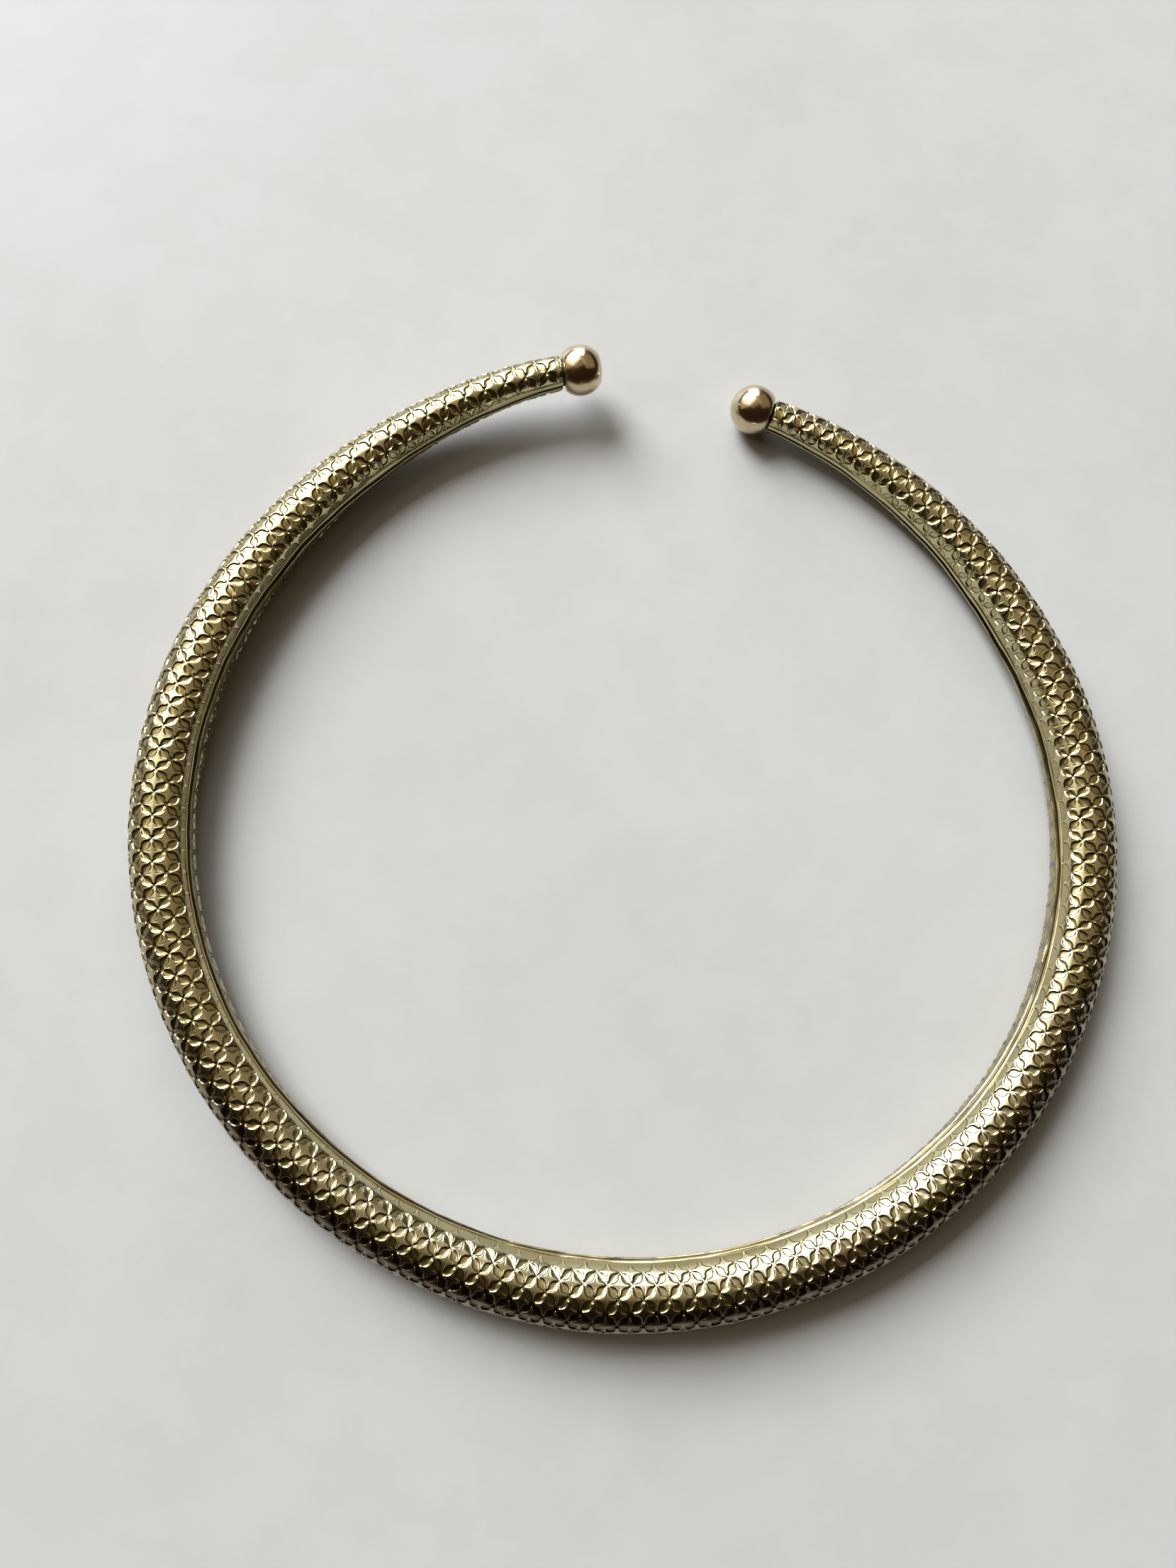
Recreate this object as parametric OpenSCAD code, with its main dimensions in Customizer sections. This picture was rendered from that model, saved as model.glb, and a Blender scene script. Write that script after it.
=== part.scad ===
// Choker: an open rigid collar of stamped sheet metal rolled into a tapering
// tube, with a polished ball on each end.
// Units are millimetres. Z is up, the collar lies on z = 0 as it rests, and its
// opening faces +Y. Angles run round the ring from the front middle at -Y,
// positive toward the left end at -X.

/* [View] */
// Which sub-part to build

/* [Ring] */
// Angle that the tube covers round the ring
tube_span = 331.6; // [300:0.1:345]
// Scale of every radius in the ring table
ring_scale = 1.0; // [0.9:0.01:1.1]

/* [Sheet] */
// Thickness of metal left between the outside and the hollow
wall = 0.7; // [0.5:0.05:1.2]
// Stars in one row from end to end
stars_long = 119; // [90:1:130]
// Distance from one row of stars to the next, round the tube
row_pitch = 1.78; // [1.4:0.02:2.2]
// Height of a star above the tube's plain surface
star_rise = 0.12; // [0.05:0.01:0.25]
// Depth of the points where four petals meet, below the plain surface
node_sink = 0.12; // [0.05:0.01:0.25]

/* [Seam] */
// Half width of the groove's floor between the two rolled edges
groove_half = 0.4; // [0.1:0.02:0.5]
// Depth of the groove below the plain surface
groove_depth = 0.3; // [0.1:0.02:0.4]
// Distance of each edge's crest from the groove's middle
crest_at = 0.72; // [0.5:0.02:0.9]
// Height of each edge's crest above the plain surface
crest_rise = 0.11; // [0.05:0.01:0.2]
// Distance of each crest's foot from the groove's middle
foot_at = 1.0; // [0.9:0.02:1.2]

/* [Balls] */
// Diameter of each end ball
ball_d = 7.2; // [6:0.1:9]
// Distance from the ball's middle to the flattened far end of the left ball
left_far_end = 3.05; // [2.6:0.05:3.6]
// Radius that rounds the left ball's flattened end
left_round = 1.3; // [0.5:0.1:2]
// Distance from the ball's middle to its flat side at the tube
ball_cut = 2.5; // [2:0.05:3]
// Radius of the short neck between ball and tube
neck_r = 1.88; // [1.5:0.02:2.1]
// Length of that neck
neck_length = 0.32; // [0.2:0.02:0.6]
// Gap left between the neck and the tube's end
seat_gap = 0.02; // [0.01:0.01:0.1]

/* [Hidden] */
$fn = 72;
// Seen smoothness of the flat's two corners: a higher power is a sharper corner
corner_power = 20;
// Depth of the flat side, from none at 0 to 21 per cent of the radius at 1
flat_none = 1.08;
flat_full = 0.29;
// Shift that puts the middle of the outline and the resting plane at the origin
frame_shift = [-0.117, 0.347, 0];
// Columns of the ring table
RADIUS = 0; // ring radius at the middle of the tube
HEIGHT = 1; // height of the tube's middle above the table
BODY = 2;   // radius of the tube's section
FLAT = 3;   // how flat the side toward the neck is
FACING = 4; // direction that the flat faces, from straight up, inward negative
SEAM = 5;   // direction of the seam, measured the same way
ROW0 = 6;   // distance from the seam's middle to the first row of stars
ring_table = [
  // radius height body  flat  facing seam  row0
  [64.75, 3.60, 2.37, 0.75, -78,  -96, 1.30],
  [64.15, 3.90, 3.26, 0.85, -78, -104, 1.30],
  [64.16, 4.20, 3.96, 0.90, -79, -106, 1.90],
  [64.96, 4.56, 4.42, 0.95, -83,  -94, 2.65],
  [65.55, 4.66, 4.52, 1.00, -85,  -87, 3.00],
  [65.70, 4.62, 4.48, 0.80, -85,  -83, 2.65],
  [65.39, 4.64, 4.50, 0.45, -85,  -88, 3.00],
  [64.85, 4.72, 4.58, 0.15, -85,  -90, 3.40],
  [64.50, 4.82, 4.68, 0.10, -85,  -90, 3.55],
  [64.55, 4.74, 4.60, 0.15, -85,  -87, 3.20],
  [64.92, 4.66, 4.52, 0.40, -85,  -80, 2.70],
  [65.32, 4.62, 4.48, 0.70, -85,  -75, 2.60],
  [65.34, 4.64, 4.50, 0.85, -85,  -72, 2.40],
  [65.00, 4.56, 4.42, 0.90, -83,  -73, 2.60],
  [64.83, 4.25, 3.96, 0.90, -79,  -87, 2.90],
  [65.30, 4.60, 3.27, 0.80, -78,  -96, 2.90],
  [66.30, 6.90, 2.39, 0.75, -78,  -90, 1.90]
];
rows_in_table = len(ring_table);
knot_step = tube_span / (rows_in_table - 1);
stations = 2 * stars_long;
station_step = tube_span / stations;
bore_stations = 48;
bore_sides = 12;

// One column of the table as a list
function column(c) = [for (row = ring_table) row[c]];

// Smooth curve through evenly spaced values v, at position t counted in knots
function curve(v, t) =
  let (
    n = len(v),
    i = min(max(floor(t), 0), n - 2),
    u = t - i,
    b = v[i],
    c = v[i + 1],
    a = i == 0 ? 2 * b - c : v[i - 1],
    d = i == n - 2 ? 2 * c - b : v[i + 2]
  )
  0.5 * (2 * b + (c - a) * u + (2 * a - 5 * b + 4 * c - d) * u * u
    + (3 * b - a - 3 * c + d) * u * u * u);

radii = column(RADIUS);
heights = column(HEIGHT);
bodies = column(BODY);
flats = column(FLAT);
facings = column(FACING);
seams = column(SEAM);
first_rows = column(ROW0);

// Position in the table of ring angle a
function knot(a) = (a + tube_span / 2) / knot_step;

// Distance from the section's middle to its plain surface in direction th
function section_r(th, body, flat, facing) =
  let (
    c = max(0, cos(th - facing)),
    deep = body * (flat_none - flat_full * flat)
  )
  pow(pow(1 / body, corner_power) + pow(c / deep, corner_power), -1 / corner_power);

// Point at ring angle a, section direction th and distance r from the section's middle
function place(a, th, r) =
  let (
    t = knot(a),
    out = ring_scale * curve(radii, t) + r * sin(th)
  )
  [-out * sin(a), -out * cos(a), curve(heights, t) + r * cos(th)];

// Pairs of arc length and direction round the section at ring angle a, from the seam on
function arc_table(a) =
  let (
    t = knot(a),
    body = curve(bodies, t),
    flat = curve(flats, t),
    facing = curve(facings, t),
    seam = curve(seams, t),
    r = [for (j = [0 : 36]) section_r(seam + 10 * j, body, flat, facing)]
  )
  [for (j = 0, s = 0; j <= 36;
      s = s + (j < 36 ? sqrt(r[j] * r[j] + r[j + 1] * r[j + 1] - 2 * r[j] * r[j + 1] * cos(10)) : 0),
      j = j + 1)
    [s, seam + 10 * j]];

// Index of the last whole row of stars, for a section of that girth
function last_row(girth, row0) = floor((girth - foot_at - 0.8 - row0) / row_pitch);

// Outline of the sheet at station i: pairs of arc length and rise
function profile(i, girth, row0) =
  let (last = last_row(girth, row0))
  concat(
    [[groove_half, -groove_depth], [crest_at, crest_rise], [foot_at, 0]],
    [for (k = [0 : last]) [row0 + k * row_pitch, (i + k) % 2 == 0 ? star_rise : -node_sink]],
    [[girth - foot_at, 0], [girth - crest_at, crest_rise], [girth - groove_half, -groove_depth]]
  );

// Points of the sheet's outside at station i
function ring_points(i) =
  let (
    a = -tube_span / 2 + i * station_step,
    t = knot(a),
    arcs = arc_table(a),
    girth = arcs[36][0],
    body = curve(bodies, t),
    flat = curve(flats, t),
    facing = curve(facings, t)
  )
  [for (p = profile(i, girth, curve(first_rows, t)))
    let (th = lookup(p[0], arcs)) place(a, th, section_r(th, body, flat, facing) + p[1])];

// Faces between two neighbouring stations, of n and m points starting at p and q
function band(i, p, n, q, m) =
  let (
    same = min(n, m) - 3,
    cells = same - 1
  )
  concat(
    [for (j = [0 : cells - 1]) each (
      (i + j - 3) % 2 == 0
        ? [[p + j, p + j + 1, q + j], [p + j + 1, q + j + 1, q + j]]
        : [[p + j, q + j + 1, q + j], [p + j, p + j + 1, q + j + 1]])],
    n == m ? edge_cell(p + same - 1, p + same, q + same - 1, q + same)
      : n > m
        ? [[p + same - 1, p + same, q + same - 1], [p + same, q + same, q + same - 1],
           [p + same, p + same + 1, q + same]]
        : [[p + same - 1, q + same, q + same - 1], [p + same - 1, p + same, q + same],
           [p + same, q + same + 1, q + same]],
    edge_cell(p + n - 3, p + n - 2, q + m - 3, q + m - 2),
    edge_cell(p + n - 2, p + n - 1, q + m - 2, q + m - 1),
    edge_cell(p + n - 1, p, q + m - 1, q)
  );

// Two triangles over the cell between points a, b of one station and c, d of the next
function edge_cell(a, b, c, d) = [[a, b, c], [b, d, c]];

// The sheet's outside, closed at both ends
module sheet_body() {
  rings = [for (i = [0 : stations]) ring_points(i)];
  starts = [for (i = 0, s = 0; i <= stations; s = s + len(rings[i]), i = i + 1) s];
  total = starts[stations] + len(rings[stations]);
  middle_a = place(-tube_span / 2, 0, 0);
  middle_b = place(tube_span / 2, 0, 0);
  n_a = len(rings[0]);
  n_b = len(rings[stations]);
  first_b = starts[stations];
  faces = concat(
    [for (i = [0 : stations - 1]) each
      band(i, starts[i], len(rings[i]), starts[i + 1], len(rings[i + 1]))],
    [for (j = [0 : n_a - 1]) [total, (j + 1) % n_a, j]],
    [for (j = [0 : n_b - 1]) [total + 1, first_b + j, first_b + (j + 1) % n_b]]
  );
  polyhedron(concat([for (r = rings) each r], [middle_a, middle_b]), faces, convexity = 10);
}

// The hollow inside the tube, open at both ends
module hollow() {
  over = 1;
  step = (tube_span + 2 * over) / bore_stations;
  rings = [for (i = [0 : bore_stations])
    let (
      a = -tube_span / 2 - over + i * step,
      t = min(max(knot(a), 0), rows_in_table - 1)
    )
    [for (j = [0 : bore_sides - 1])
      let (th = 360 * j / bore_sides + curve(facings, t))
      place(a, th, section_r(th, curve(bodies, t), curve(flats, t), curve(facings, t)) - wall)]];
  n = bore_sides;
  end = n * bore_stations;
  faces = concat(
    [for (i = [0 : bore_stations - 1], j = [0 : n - 1]) each
      edge_cell(i * n + j, i * n + (j + 1) % n, (i + 1) * n + j, (i + 1) * n + (j + 1) % n)],
    [[for (j = [n - 1 : -1 : 0]) j]],
    [[for (j = [0 : n - 1]) end + j]]
  );
  polyhedron([for (r = rings) each r], faces, convexity = 10);
}

module collar_tube() {
  color([0.66, 0.58, 0.38])
    translate(frame_shift)
      difference() {
        sheet_body();
        hollow();
      }
}

// Half outline of a ball, turned about Z: tube side at the bottom, far end on top
module ball_outline(far_end, round_r) {
  r = ball_d / 2;
  low = -ball_cut;
  start = asin(low / r);
  // The rounding's middle lies inside the ball and under the flat end
  c_z = far_end - round_r;
  c_x = sqrt(max(0, pow(r - round_r, 2) - c_z * c_z));
  stop = far_end < r ? atan2(c_z, c_x) : 90;
  polygon(concat(
    [[0, low - neck_length + seat_gap], [neck_r, low - neck_length + seat_gap], [neck_r, low]],
    [for (k = [0 : 24]) let (e = start + (stop - start) * k / 24) [r * cos(e), r * sin(e)]],
    far_end < r
      ? [for (k = [1 : 8]) let (e = stop + (90 - stop) * k / 8)
          [c_x + round_r * cos(e), c_z + round_r * sin(e)]]
      : [],
    far_end < r ? [[0, far_end]] : []
  ));
}

// A ball on the tube's end at ring angle a, turned so that its axis follows the ring
module end_ball(a, side, far_end, round_r) {
  translate(frame_shift)
    translate(place(a, 0, 0))
      rotate([0, 0, -a])
        rotate([0, -90 * side, 0])
          translate([0, 0, ball_cut + neck_length])
            rotate_extrude()
              ball_outline(far_end, round_r);
}

module end_ball_left() {
  color([0.80, 0.72, 0.55]) end_ball(tube_span / 2, 1, left_far_end, left_round);
}

module end_ball_right() {
  color([0.80, 0.72, 0.55]) end_ball(-tube_span / 2, -1, ball_d / 2, 0);
}

collar_tube();
end_ball_left();
end_ball_right();
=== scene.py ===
"""Dressed model of an open rigid choker: a stamped tapering tube with a polished ball on each end.

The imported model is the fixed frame. Sizes are millimetres in the classes and metres in Blender.
Ring angles run from the front middle at -Y, positive toward the left end at -X. Section
directions run from straight up, positive away from the neck.
"""

import logging
import math
from dataclasses import dataclass, field
from enum import Enum
from typing import Any, Dict, List, Optional, Sequence, Tuple, Union

import bpy
import numpy as np
from mathutils import Matrix


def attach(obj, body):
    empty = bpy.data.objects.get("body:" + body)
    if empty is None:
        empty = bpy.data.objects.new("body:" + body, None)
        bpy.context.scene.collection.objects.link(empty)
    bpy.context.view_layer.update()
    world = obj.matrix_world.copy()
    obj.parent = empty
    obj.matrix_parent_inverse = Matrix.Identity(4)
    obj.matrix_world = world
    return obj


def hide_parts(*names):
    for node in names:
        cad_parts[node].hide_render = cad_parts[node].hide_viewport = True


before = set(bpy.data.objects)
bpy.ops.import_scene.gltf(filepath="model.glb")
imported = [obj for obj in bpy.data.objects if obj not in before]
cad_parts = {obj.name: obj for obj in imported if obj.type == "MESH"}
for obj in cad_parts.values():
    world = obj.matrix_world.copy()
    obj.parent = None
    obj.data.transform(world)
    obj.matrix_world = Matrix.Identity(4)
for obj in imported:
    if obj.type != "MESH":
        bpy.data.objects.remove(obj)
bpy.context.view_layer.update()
LOG = logging.getLogger("choker")
MM = 0.001
TINY = 1e-6
# Shift in the part source that brings the middle of the part's base to the origin
SHIFT_MM = (-0.117, 0.347, 0.0)

Number = Union[float, np.ndarray]
Pair = Tuple[float, float]
Triple = Tuple[float, float, float]
Colour = Tuple[float, float, float, float]


def tone(red: float, green: float, blue: float) -> Colour:
    """Opaque colour from three linear channels."""
    return (red, green, blue, 1.0)


def smooth_step(low: Number, high: Number, value: Number) -> Number:
    """Rise smoothly from 0 at low to 1 at high.

    Args:
        low: value at which the rise starts.
        high: value at which the rise ends.
        value: number or array to map.

    Returns:
        The mapped number or array, between 0 and 1.
    """
    share = np.clip((value - low) / (high - low), 0.0, 1.0)
    return share * share * (3.0 - 2.0 * share)


class Socket:
    """An output socket of a material's node, with arithmetic that adds Math nodes."""

    def __init__(self, book: "NodeBook", output: bpy.types.NodeSocket) -> None:
        """Keep the socket and the book that makes its nodes."""
        self.book = book
        self.output = output

    def _maths(self, operation: str, first: Any, second: Any) -> "Socket":
        """Add one Math node.

        Args:
            operation: the node's operation.
            first: value or socket on the first input.
            second: value or socket on the second input.

        Returns:
            The node's result.
        """
        return self.book.add("ShaderNodeMath", {"operation": operation}, {0: first, 1: second})

    def __add__(self, other: Any) -> "Socket":
        """Sum with a value or socket."""
        return self._maths("ADD", self, other)

    def __radd__(self, other: Any) -> "Socket":
        """Sum with a value on the left."""
        return self._maths("ADD", other, self)

    def __sub__(self, other: Any) -> "Socket":
        """Difference from a value or socket."""
        return self._maths("SUBTRACT", self, other)

    def __rsub__(self, other: Any) -> "Socket":
        """Value on the left less this socket."""
        return self._maths("SUBTRACT", other, self)

    def __mul__(self, other: Any) -> "Socket":
        """Product with a value or socket."""
        return self._maths("MULTIPLY", self, other)

    def __rmul__(self, other: Any) -> "Socket":
        """Product with a value on the left."""
        return self._maths("MULTIPLY", other, self)

    def between(self, low: float, high: float) -> "Socket":
        """Map low to 0 and high to 1, held inside that range.

        Args:
            low: value that becomes 0.
            high: value that becomes 1.

        Returns:
            The mapped socket.
        """
        return self.book.add(
            "ShaderNodeMapRange",
            {"interpolation_type": "SMOOTHSTEP"},
            {"Value": self, "From Min": low, "From Max": high},
        )


class NodeBook:
    """One material under construction."""

    def __init__(self, name: str) -> None:
        """Start a material with one principled shader.

        Args:
            name: the material's name.
        """
        self.material = bpy.data.materials.new(name)
        self.material.use_nodes = True
        self.tree = self.material.node_tree
        self.tree.nodes.clear()
        self.shader = self.tree.nodes.new("ShaderNodeBsdfPrincipled")
        surface = self.tree.nodes.new("ShaderNodeOutputMaterial").inputs["Surface"]
        self.tree.links.new(self.shader.outputs[0], surface)

    def feed(self, socket: bpy.types.NodeSocket, value: Any) -> None:
        """Link a socket, or set a fixed value on it.

        Args:
            socket: the input to fill.
            value: a Socket to link, or a number, vector or colour to set.
        """
        if isinstance(value, Socket):
            self.tree.links.new(value.output, socket)
        elif hasattr(value, "__len__"):
            socket.default_value = tuple(value)[: len(socket.default_value)]
        else:
            socket.default_value = value

    def add(
        self,
        kind: str,
        settings: Optional[Dict[str, Any]] = None,
        inputs: Optional[Dict[Union[int, str], Any]] = None,
        output: Union[int, str] = 0,
    ) -> Socket:
        """Add a node with its settings and inputs.

        Args:
            kind: the node's type name.
            settings: attributes that are set first.
            inputs: values or sockets by input name or number.
            output: name or number of the output wanted.

        Returns:
            The chosen output.
        """
        node = self.tree.nodes.new(kind)
        for name, value in (settings or {}).items():
            setattr(node, name, value)
        for name, value in (inputs or {}).items():
            self.feed(node.inputs[name], value)
        return Socket(self, node.outputs[output])

    def mix(self, first: Any, second: Any, share: Any) -> Socket:
        """Blend two colours.

        Args:
            first: colour at share 0.
            second: colour at share 1.
            share: value or socket that says how much of the second shows.

        Returns:
            The blended colour.
        """
        return self.add(
            "ShaderNodeMix",
            {"data_type": "RGBA", "clamp_factor": True},
            {0: share, 6: first, 7: second},
            2,
        )

    def scaled(self, vector: Socket, by: Sequence[float]) -> Socket:
        """Multiply a vector by three numbers.

        Args:
            vector: the vector to scale.
            by: the three factors.

        Returns:
            The scaled vector.
        """
        return self.add("ShaderNodeVectorMath", {"operation": "MULTIPLY"}, {0: vector, 1: by})

    def attribute(self, name: str, output: str = "Fac") -> Socket:
        """Read a named attribute of the mesh."""
        return self.add("ShaderNodeAttribute", {"attribute_name": name}, output=output)

    def noise(self, vector: Socket, scale: float, detail: float = 2.0, rough: float = 0.5) -> Socket:
        """Add a noise texture.

        Args:
            vector: place to sample.
            scale: features per unit.
            detail: number of finer layers.
            rough: strength of the finer layers.

        Returns:
            The noise, about 0 to 1.
        """
        wanted = {"Vector": vector, "Scale": scale, "Detail": detail, "Roughness": rough}
        return self.add("ShaderNodeTexNoise", {"noise_dimensions": "3D"}, wanted)

    def place(self) -> Socket:
        """Object coordinates in millimetres."""
        spot = self.add("ShaderNodeTexCoord", output="Object")
        return self.scaled(spot, (1.0 / MM, 1.0 / MM, 1.0 / MM))

    def bump(
        self, height: Socket, depth_mm: float, strength: float, under: Optional[Socket] = None
    ) -> Socket:
        """Turn a height into a normal.

        Args:
            height: height from 0 to 1.
            depth_mm: millimetres that a height of 1 stands for.
            strength: share of the bump that shows.
            under: another bump's normal, to which this one is added.

        Returns:
            The bent normal.
        """
        wanted: Dict[str, Any] = {"Strength": strength, "Distance": depth_mm * MM, "Height": height}
        if under is not None:
            wanted["Normal"] = under
        return self.add("ShaderNodeBump", None, wanted)

    def dress(self, **sockets: Any) -> bpy.types.Material:
        """Fill the principled shader's inputs and give the material.

        Args:
            **sockets: input names with underscores for spaces, and their values.

        Returns:
            The finished material.
        """
        for name, value in sockets.items():
            self.feed(self.shader.inputs[name.replace("_", " ")], value)
        return self.material


@dataclass(frozen=True)
class StampedFinish:
    """Aged pale brass sheet: rubbed star tops, drawn petals, and low lines darkened by tarnish and painted
    shade.

    The star attribute is 1 on star tops and below 0 on the grey lower band. The low
    attribute is 1 in the lines round the stars and 2 in the seam's groove, which gets painted
    shade. The sheet_mm attribute holds the place on the flat sheet, and in its third part the
    share of brown patina with painted shade, which is below 0 where a silver highlight is painted.
    """

    # Rubbed pale metal of the star tops
    wear_and_highlight: Colour = tone(0.57, 0.515, 0.265)
    petal: Colour = tone(0.46, 0.380, 0.155)
    olive: Colour = tone(0.335, 0.268, 0.074)
    grey: Colour = tone(0.20, 0.190, 0.155)
    # Tarnish of the stains, also used as painted shade in the low lines
    tarnish_and_shade: Colour = tone(0.034, 0.022, 0.008)
    # Painted shade of the seam's groove
    groove_shade: Colour = tone(0.050, 0.043, 0.024)
    # Brown patina with painted shade on the outer, lower slope
    patina_shade_brown: Colour = tone(0.076, 0.042, 0.014)
    # Painted silver highlight on the front's top
    painted_silver_highlight: Colour = tone(0.59, 0.558, 0.375)
    star_rough: float = 0.21
    petal_rough: float = 0.23
    broad_per_mm: float = 0.09
    fine_per_mm: float = 1.7
    specks_per_mm: float = 5.5
    line_pitch_mm: float = 0.15
    line_depth_mm: float = 0.011
    dent_depth_mm: float = 0.035
    ragged_depth_mm: float = 0.09
    coat: float = 0.8
    coat_lost: float = 0.65
    coat_rough: float = 0.16
    coat_ior: float = 1.9

    def material(self) -> bpy.types.Material:
        """Build the sheet's material.

        Returns:
            The material, which reads the star, low and sheet_mm attributes.
        """
        book = NodeBook("stamped_sheet")
        star = book.attribute("star")
        low = book.attribute("low")
        sheet = book.attribute("sheet_mm", "Vector")
        patina_shade_highlight = book.add("ShaderNodeSeparateXYZ", None, {0: sheet}, 2)
        place = book.place()
        broad = book.noise(place, self.broad_per_mm, 3.0, 0.55)
        fine = book.noise(place, self.fine_per_mm, 4.0, 0.6)
        specks = book.noise(place, self.specks_per_mm, 2.0, 0.5)
        lines = book.noise(book.scaled(sheet, (0.35, 1.0 / self.line_pitch_mm, 1.0)), 1.0, 1.0, 0.5)
        # Tarnish and painted shade in the low lines round the stars and on the plain band beside the seam
        dark = (low * (0.55 + fine * 0.75)).between(0.22, 0.82)
        smudge = (fine * broad).between(0.20, 0.42) * 0.35
        stain_and_shade = specks.between(0.66, 0.78) * 0.45
        metal = book.mix(self.petal, self.olive, broad.between(0.35, 0.65))
        metal = book.mix(metal, self.wear_and_highlight, (star * 0.85 + smudge * 0.3).between(0.0, 1.0))
        under = (0.0 - star).between(0.1, 0.6)
        metal = book.mix(metal, self.grey, under * (0.5 + fine * 0.6))
        metal = book.mix(metal, self.tarnish_and_shade, under * specks.between(0.42, 0.62) * 0.6)
        # Painted silver highlight where the third part of sheet_mm is below 0
        metal = book.mix(metal, self.painted_silver_highlight, (0.0 - patina_shade_highlight).between(0.0, 0.8) * (0.15 + fine * 0.6))
        # Brown patina with painted shade on the outer slope
        patina_and_shade = patina_shade_highlight.between(0.0, 1.0) * (1.0 - star * 0.5)
        metal = book.mix(metal, self.patina_shade_brown, patina_and_shade * (1.2 + (broad - 0.5) * 0.6))
        # Low lines darkened: tarnish and painted shade
        metal = book.mix(metal, self.tarnish_and_shade, dark * 0.92)
        metal = book.mix(metal, self.tarnish_and_shade, stain_and_shade * (1.0 - star * 0.6))
        # Painted shade in the seam's groove, where low is 2
        deep = low.between(1.05, 1.9)
        metal = book.mix(metal, self.groove_shade, deep * 0.95)
        rough = self.petal_rough + star * (self.star_rough - self.petal_rough)
        rough = rough + dark * 0.06 + smudge * 0.20 + (lines - 0.5) * (1.0 - star) * 0.10
        drawn = book.bump(lines * (1.0 - star * 0.9), self.line_depth_mm, 0.8)
        dents = book.bump(fine, self.dent_depth_mm, 0.3, drawn)
        ragged = book.noise(book.scaled(sheet, (0.6, 2.4, 1.0)), 1.6, 4.0, 0.65)
        ragged = ragged * (0.0 - star).between(0.1, 0.55)
        return book.dress(
            Base_Color=metal,
            Metallic=1.0,
            Roughness=rough,
            Normal=book.bump(ragged, self.ragged_depth_mm, 0.7, dents),
            Coat_Weight=(self.coat - patina_and_shade * self.coat_lost) * (1.0 - dark),
            Coat_Roughness=self.coat_rough,
            Coat_IOR=self.coat_ior,
        )


@dataclass(frozen=True)
class PolishedFinish:
    """Polished pale metal of the balls, with a faint bloom and fine scratches."""

    metal: Colour = tone(0.62, 0.505, 0.315)
    warm: Colour = tone(0.50, 0.385, 0.215)
    rough: float = 0.17
    scratch_depth_mm: float = 0.006
    coat: float = 0.7
    coat_rough: float = 0.05
    coat_ior: float = 1.8

    def material(self) -> bpy.types.Material:
        """Build the balls' material.

        Returns:
            The material.
        """
        book = NodeBook("polished_ball")
        place = book.place()
        bloom = book.noise(place, 0.35, 3.0, 0.6)
        scratch = book.noise(book.scaled(place, (1.0, 6.0, 2.5)), 2.2, 4.0, 0.65)
        colour = book.mix(self.metal, self.warm, bloom.between(0.35, 0.7) * 0.7)
        rough = self.rough + bloom.between(0.4, 0.8) * 0.10 + scratch.between(0.55, 0.8) * 0.08
        return book.dress(
            Base_Color=colour,
            Metallic=1.0,
            Roughness=rough,
            Normal=book.bump(scratch, self.scratch_depth_mm, 0.5),
            Coat_Weight=self.coat,
            Coat_Roughness=self.coat_rough,
            Coat_IOR=self.coat_ior,
        )


@dataclass(frozen=True)
class JointFinish:
    """Near-black dull metal in the narrow necks behind the balls and on the tube's closed ends: painted
    shade of the gap between tube and ball.
    """

    # Painted shade: near-black colour for the gap between tube end and ball
    metal: Colour = tone(0.05, 0.038, 0.024)
    grime: Colour = tone(0.16, 0.12, 0.07)
    pit_depth_mm: float = 0.02

    def material(self) -> bpy.types.Material:
        """Build the necks' material.

        Returns:
            The material.
        """
        book = NodeBook("dark_joint")
        spots = book.noise(book.place(), 2.5, 3.0, 0.6)
        colour = book.mix(self.metal, self.grime, spots.between(0.45, 0.75) * 0.5)
        return book.dress(
            Base_Color=colour,
            Metallic=0.8,
            Roughness=0.5 + spots * 0.2,
            Normal=book.bump(spots, self.pit_depth_mm, 0.5),
        )


@dataclass(frozen=True)
class FloorFinish:
    """Plain pale tile, a little glossy."""

    pale: Colour = tone(0.372, 0.368, 0.352)
    shade: Colour = tone(0.346, 0.340, 0.322)
    rough: float = 0.40
    gloss: float = 0.06
    wave_depth_mm: float = 0.15

    def material(self) -> bpy.types.Material:
        """Build the floor's material.

        Returns:
            The material.
        """
        book = NodeBook("pale_tile")
        place = book.place()
        cloud = book.noise(place, 0.012, 4.0, 0.55)
        veins = book.noise(place, 0.07, 5.0, 0.62)
        waves = book.noise(place, 0.05, 3.0, 0.5)
        share = cloud.between(0.4, 0.7) * 0.6 + veins.between(0.42, 0.6) * 0.4
        return book.dress(
            Base_Color=book.mix(self.pale, self.shade, share),
            Roughness=self.rough,
            Normal=book.bump(waves, self.wave_depth_mm, 0.35),
            Specular_IOR_Level=self.gloss,
        )


class Column(Enum):
    """Columns of the ring table."""

    RADIUS = 0
    HEIGHT = 1
    BODY = 2
    FLAT = 3
    FACING = 4
    SEAM = 5
    ROW0 = 6
    LEAD = 7


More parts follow.
